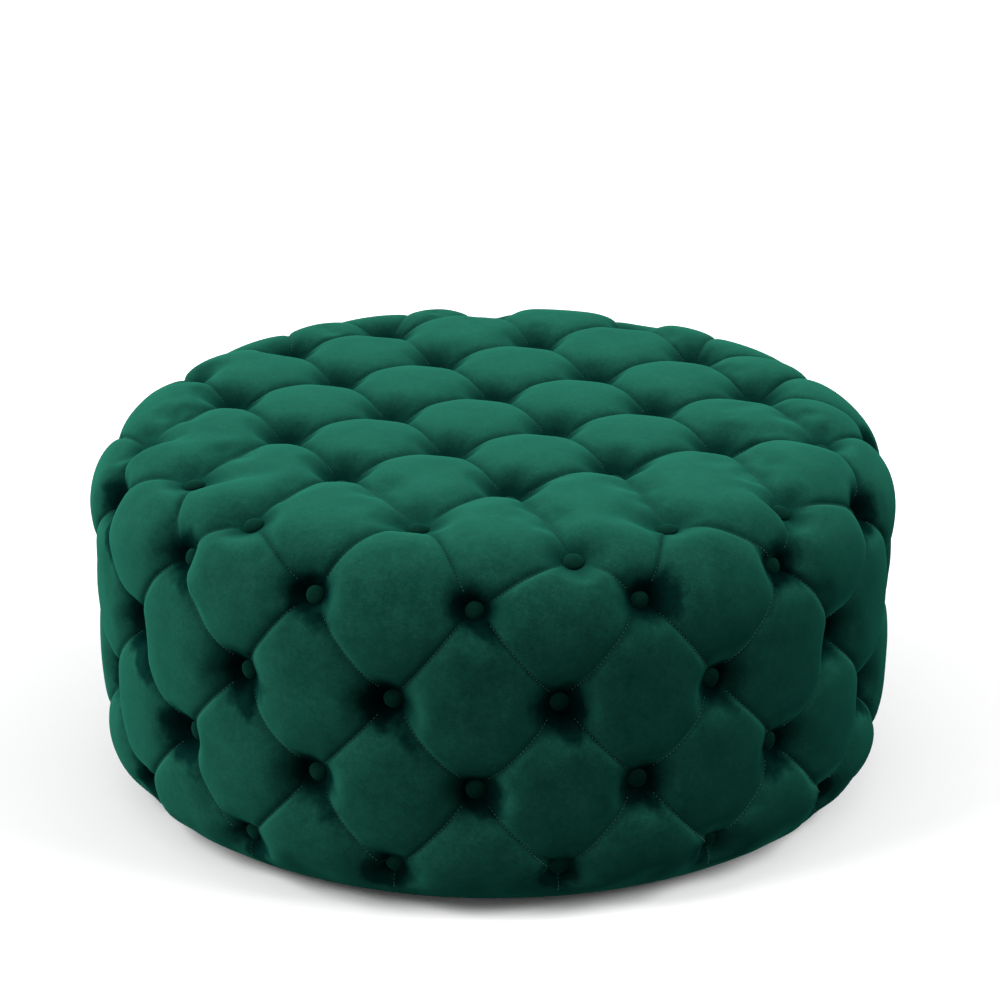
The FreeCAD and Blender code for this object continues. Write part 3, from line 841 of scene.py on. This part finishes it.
VELVET_MID = (0.0026, 0.0226, 0.0155)
VELVET_LIGHT = (0.0050, 0.0383, 0.0262)
# painted sheen, mixed in where the surface turns away from the view
VELVET_PAINTED_SHEEN = (0.0105, 0.0920, 0.0620)
VELVET_SHEEN = (0.06, 0.62, 0.42)
# painted shade that darkens the buttons all over
BUTTON_PAINTED_SHADE = 0.36
# Painted light and shade: the velvet's colour is scaled by the way its surface faces.
FACING_LIGHT_LEAN = (-0.40, 0.22, 0.56)
FACING_LIGHT_RANGE = (-0.65, 0.70)
FACING_LIGHT_TONES = [(0.06, (0.20, 0.25, 0.27)), (0.30, (0.68, 0.71, 0.72)), (0.50, (1.20, 1.18, 1.17)),
             (0.70, (1.38, 1.34, 1.32)), (0.92, (1.90, 1.80, 1.75))]


def painted_facing_light(tree):
    """Painted light and shade by the way the cloth faces: lighter where it faces up, left or back, and
    darker where it faces down, right or forward."""
    lean = tree.nodes.new("ShaderNodeVectorMath")
    lean.operation = "DOT_PRODUCT"
    lean.inputs[1].default_value = FACING_LIGHT_LEAN
    tree.links.new(tree.nodes.new("ShaderNodeTexCoord").outputs["Normal"], lean.inputs[0])
    spread = tree.nodes.new("ShaderNodeMapRange")
    spread.inputs["From Min"].default_value = FACING_LIGHT_RANGE[0]
    spread.inputs["From Max"].default_value = FACING_LIGHT_RANGE[1]
    tree.links.new(lean.outputs["Value"], spread.inputs["Value"])
    return ramp(tree, spread.outputs["Result"], FACING_LIGHT_TONES)


def stored(tree, name):
    """A value that the mesh stores for each of its points."""
    attribute = tree.nodes.new("ShaderNodeAttribute")
    attribute.attribute_name = name
    return attribute.outputs["Fac"]


def painted_hollow_shade(tree):
    """Painted shade: darker and bluer with the depth of the tuft."""
    return ramp(tree, stored(tree, "tuft_depth"),
                [(0.14, (1, 1, 1)), (0.28, (0.74, 0.77, 0.78)), (0.50, (0.30, 0.38, 0.42)),
                 (0.85, (0.06, 0.13, 0.17))])


def painted_shade_by_buttons(tree, coords):
    """Painted shade: dark, ragged patches beside the buttons."""
    ragged = noise(tree, coords, 34.0, 3.0, 0.6)
    sway = tree.nodes.new("ShaderNodeMath")
    sway.operation = "MULTIPLY_ADD"
    sway.inputs[1].default_value = 0.9
    tree.links.new(ragged, sway.inputs[0])
    tree.links.new(stored(tree, "painted_button_shade"), sway.inputs[2])
    return ramp(tree, sway.outputs["Value"], [(0.70, (1, 1, 1)), (0.98, (0.24, 0.34, 0.40))])


def velvet(name, depth_marked):
    """Green velvet; the cover's has painted shade in its tufts and beside its side buttons, and the
    buttons' has painted shade all over.
    """
    material, tree, shader = new_material(name)
    coords = object_coords(tree)
    nap = noise(tree, coords, 22.0, 5.0, 0.7)
    mottle = noise(tree, coords, 150.0, 4.0, 0.7)
    pile = noise(tree, coords, 620.0, 3.0, 0.7)
    colour = ramp(tree, nap, [(0.32, VELVET_MID), (0.70, VELVET_LIGHT)])
    patch = ramp(tree, mottle, [(0.34, (0.70, 0.70, 0.70)), (0.68, (1.18, 1.18, 1.18))])
    colour = mix(tree, "MULTIPLY", 0.6, colour, patch)
    speck = ramp(tree, pile, [(0.32, (0.60, 0.60, 0.60)), (0.68, (1.36, 1.36, 1.36))])
    colour = mix(tree, "MULTIPLY", 0.6, colour, speck)
    # Painted sheen: the colour turns lighter green where the surface turns away from the view.
    facing = tree.nodes.new("ShaderNodeLayerWeight")
    facing.inputs["Blend"].default_value = 0.25
    colour = mix(tree, "MIX", facing.outputs["Facing"], colour, VELVET_PAINTED_SHEEN)
    if depth_marked:
        # painted shade in the hollows of the tufts
        colour = mix(tree, "MULTIPLY", 1.0, colour, painted_hollow_shade(tree))
        # painted shade beside the side buttons
        colour = mix(tree, "MULTIPLY", 1.0, colour, painted_shade_by_buttons(tree, coords))
    else:
        # painted shade all over the buttons
        colour = mix(tree, "MULTIPLY", 1.0, colour, (BUTTON_PAINTED_SHADE, BUTTON_PAINTED_SHADE, BUTTON_PAINTED_SHADE))
    # painted light and shade by the way the surface faces
    colour = mix(tree, "MULTIPLY", 1.0, colour, painted_facing_light(tree))
    tree.links.new(colour, shader.inputs["Base Color"])
    shader.inputs["Roughness"].default_value = 0.80
    shader.inputs["Specular IOR Level"].default_value = 0.0
    shader.inputs["Sheen Weight"].default_value = 0.06
    shader.inputs["Sheen Roughness"].default_value = 0.38
    shader.inputs["Sheen Tint"].default_value = (*VELVET_SHEEN, 1)
    soft = bump(tree, mottle, 0.18, 0.0012)
    tree.links.new(bump(tree, pile, 0.35, 0.0004, soft), shader.inputs["Normal"])
    return material


def wood(name, light, dark, grain_scale):
    """Sawn wood or board with its grain along the height."""
    material, tree, shader = new_material(name)
    coords = object_coords(tree)
    stretch = tree.nodes.new("ShaderNodeMapping")
    stretch.inputs["Scale"].default_value = (grain_scale, grain_scale, 3.0)
    tree.links.new(coords, stretch.inputs["Vector"])
    grain = noise(tree, stretch.outputs["Vector"], 6.0, 6.0, 0.6)
    fleck = noise(tree, coords, 400.0, 2.0)
    colour = ramp(tree, grain, [(0.3, dark), (0.7, light)])
    flecks = ramp(tree, fleck, [(0.3, (0.7, 0.7, 0.7)), (0.7, (1, 1, 1))])
    colour = mix(tree, "MULTIPLY", 0.35, colour, flecks)
    tree.links.new(colour, shader.inputs["Base Color"])
    shader.inputs["Roughness"].default_value = 0.72
    tree.links.new(bump(tree, grain, 0.25, 0.001), shader.inputs["Normal"])
    return material


def fibre(name, light, dark, scale, rough, height):
    """Any matt, fine-grained stuff: padding, card, cloth, twine or plastic."""
    material, tree, shader = new_material(name)
    coords = object_coords(tree)
    cloud = noise(tree, coords, scale, 5.0, 0.65)
    fine = noise(tree, coords, scale * 9, 2.0, 0.6)
    tree.links.new(ramp(tree, cloud, [(0.3, dark), (0.7, light)]), shader.inputs["Base Color"])
    shader.inputs["Roughness"].default_value = rough
    tree.links.new(bump(tree, fine, 0.4, height), shader.inputs["Normal"])
    return material


def metal(name, colour, rough):
    """Plated steel with faint clouding."""
    material, tree, shader = new_material(name)
    coords = object_coords(tree)
    cloud = noise(tree, coords, 120.0, 3.0)
    tint = tuple(c * 0.8 for c in colour)
    tree.links.new(ramp(tree, cloud, [(0.35, tint), (0.65, colour)]), shader.inputs["Base Color"])
    shader.inputs["Metallic"].default_value = 1.0
    shader.inputs["Roughness"].default_value = rough
    tree.links.new(bump(tree, cloud, 0.1, 0.0002), shader.inputs["Normal"])
    return material


def dress_cad_nodes(by_slot):
    """Gives every node of the frame the material of its slot."""
    slots = {entry["node"]: entry["material_slot"] for entry in frame["record"]["subparts"]}
    for name, node in frame["nodes"].items():
        paint(node, by_slot[slots[name]])


def paint(piece, material):
    """Gives a piece its only material."""
    piece.data.materials.clear()
    piece.data.materials.append(material)


# ---------------------------------------------------------------- build
cover, (batting, foam), stitches = make_cover()
cover_velvet = velvet("emerald_velvet", True)
paint(cover, cover_velvet)
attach(cover, BODY)
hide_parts("velvet_cover")

button_velvet = velvet("button_velvet", False)
button_groups = [("top_velvet_buttons", [("top", a, b) for a, b in TOP_POINTS], "top_buttons"),
                 ("rim_velvet_buttons", [("top", *entry[:2]) for entry in RIM_BUTTONS], "rim_buttons")]
for row in ROW_HEIGHTS:
    button_groups.append(("side_velvet_buttons_row_%d" % row,
                          [("row", row, k) for k in range(COLUMNS)], "side_buttons_row_%d" % row))
for name, keys, node in button_groups:
    paint(make_buttons(name, keys, node), button_velvet)

slot_materials = {
    "velvet": cover_velvet,
    "button_velvet": button_velvet,
    "batting": fibre("polyester_batting", (0.86, 0.86, 0.84), (0.70, 0.70, 0.68), 90.0, 0.95, 0.002),
    "foam": fibre("upholstery_foam", (0.85, 0.77, 0.50), (0.74, 0.65, 0.40), 300.0, 0.95, 0.001),
    "plywood": wood("plywood", (0.62, 0.44, 0.26), (0.42, 0.27, 0.14), 14.0),
    "softwood": wood("softwood", (0.68, 0.50, 0.29), (0.50, 0.33, 0.17), 30.0),
    "hardboard": fibre("hardboard", (0.20, 0.11, 0.055), (0.13, 0.07, 0.035), 500.0, 0.8, 0.0004),
    "zinc_steel": metal("zinc_steel", (0.62, 0.63, 0.65), 0.38),
    "twine": fibre("waxed_twine", (0.72, 0.69, 0.60), (0.55, 0.52, 0.44), 800.0, 0.8, 0.0005),
    "tack_card": fibre("tack_card", (0.42, 0.33, 0.23), (0.32, 0.25, 0.17), 350.0, 0.9, 0.0004),
    "cambric": fibre("black_cambric", (0.022, 0.022, 0.025), (0.010, 0.010, 0.012), 900.0, 0.95, 0.0005),
    "glide_plastic": fibre("glide_plastic", (0.016, 0.016, 0.018), (0.010, 0.010, 0.011),
                           260.0, 0.45, 0.0002),
}
dress_cad_nodes(slot_materials)
paint(stitches, fibre("seam_thread", (0.010, 0.085, 0.060), (0.006, 0.050, 0.036), 1500.0, 0.7, 0.0001))
paint(batting, slot_materials["batting"])
paint(foam, slot_materials["foam"])


# ---------------------------------------------------------------- floor, light and camera
def make_floor():
    """A plain pale floor."""
    half = 14.0
    corners = [(-half, -half, 0), (half, -half, 0), (half, half, 0), (-half, half, 0)]
    piece = mesh_object("studio_floor", corners, [(0, 1, 2, 3)], rounded=False)
    material, tree, shader = new_material("pale_floor")
    coords = object_coords(tree)
    cloud = noise(tree, coords, 3.0, 2.0)
    tree.links.new(ramp(tree, cloud, [(0.3, (0.955, 0.955, 0.955)), (0.7, (0.97, 0.97, 0.97))]),
                   shader.inputs["Base Color"])
    shader.inputs["Roughness"].default_value = 0.9
    shader.inputs["Specular IOR Level"].default_value = 0.1
    paint(piece, material)


def soft_sun(name, towards, spread, power):
    """A broad, soft light that shines from a direction."""
    data = bpy.data.lights.new(name, "SUN")
    data.angle = math.radians(spread)
    data.energy = power
    lamp = bpy.data.objects.new(name, data)
    lamp.rotation_euler = (-Vector(towards)).to_track_quat("-Z", "Y").to_euler()
    scene.collection.objects.link(lamp)


def make_studio():
    """Floor, even light from all round, and a soft light from each side."""
    make_floor()
    world = bpy.data.worlds.new("studio")
    world.use_nodes = True
    background = world.node_tree.nodes["Background"]
    background.inputs["Color"].default_value = (1, 1, 1, 1)
    background.inputs["Strength"].default_value = 0.60
    scene.world = world
    soft_sun("key_left", (-0.88, -0.25, 0.80), 36, 2.6)
    soft_sun("key_right", (0.90, -0.10, 0.66), 40, 2.9)


CAMERA_PLACE = (0.081, -4.455, 2.027)
CAMERA_PITCH = math.radians(21.01)
CAMERA_TURN = math.radians(0.95)
CAMERA_LENS = 150.4


def make_camera():
    """A long lens that looks down a little on the front."""
    data = bpy.data.cameras.new("camera")
    data.lens = CAMERA_LENS
    data.sensor_width = 36.0
    camera = bpy.data.objects.new("camera", data)
    camera.location = CAMERA_PLACE
    camera.rotation_euler = (math.pi / 2 - CAMERA_PITCH, 0, CAMERA_TURN)
    scene.collection.objects.link(camera)
    scene.camera = camera


make_studio()
make_camera()
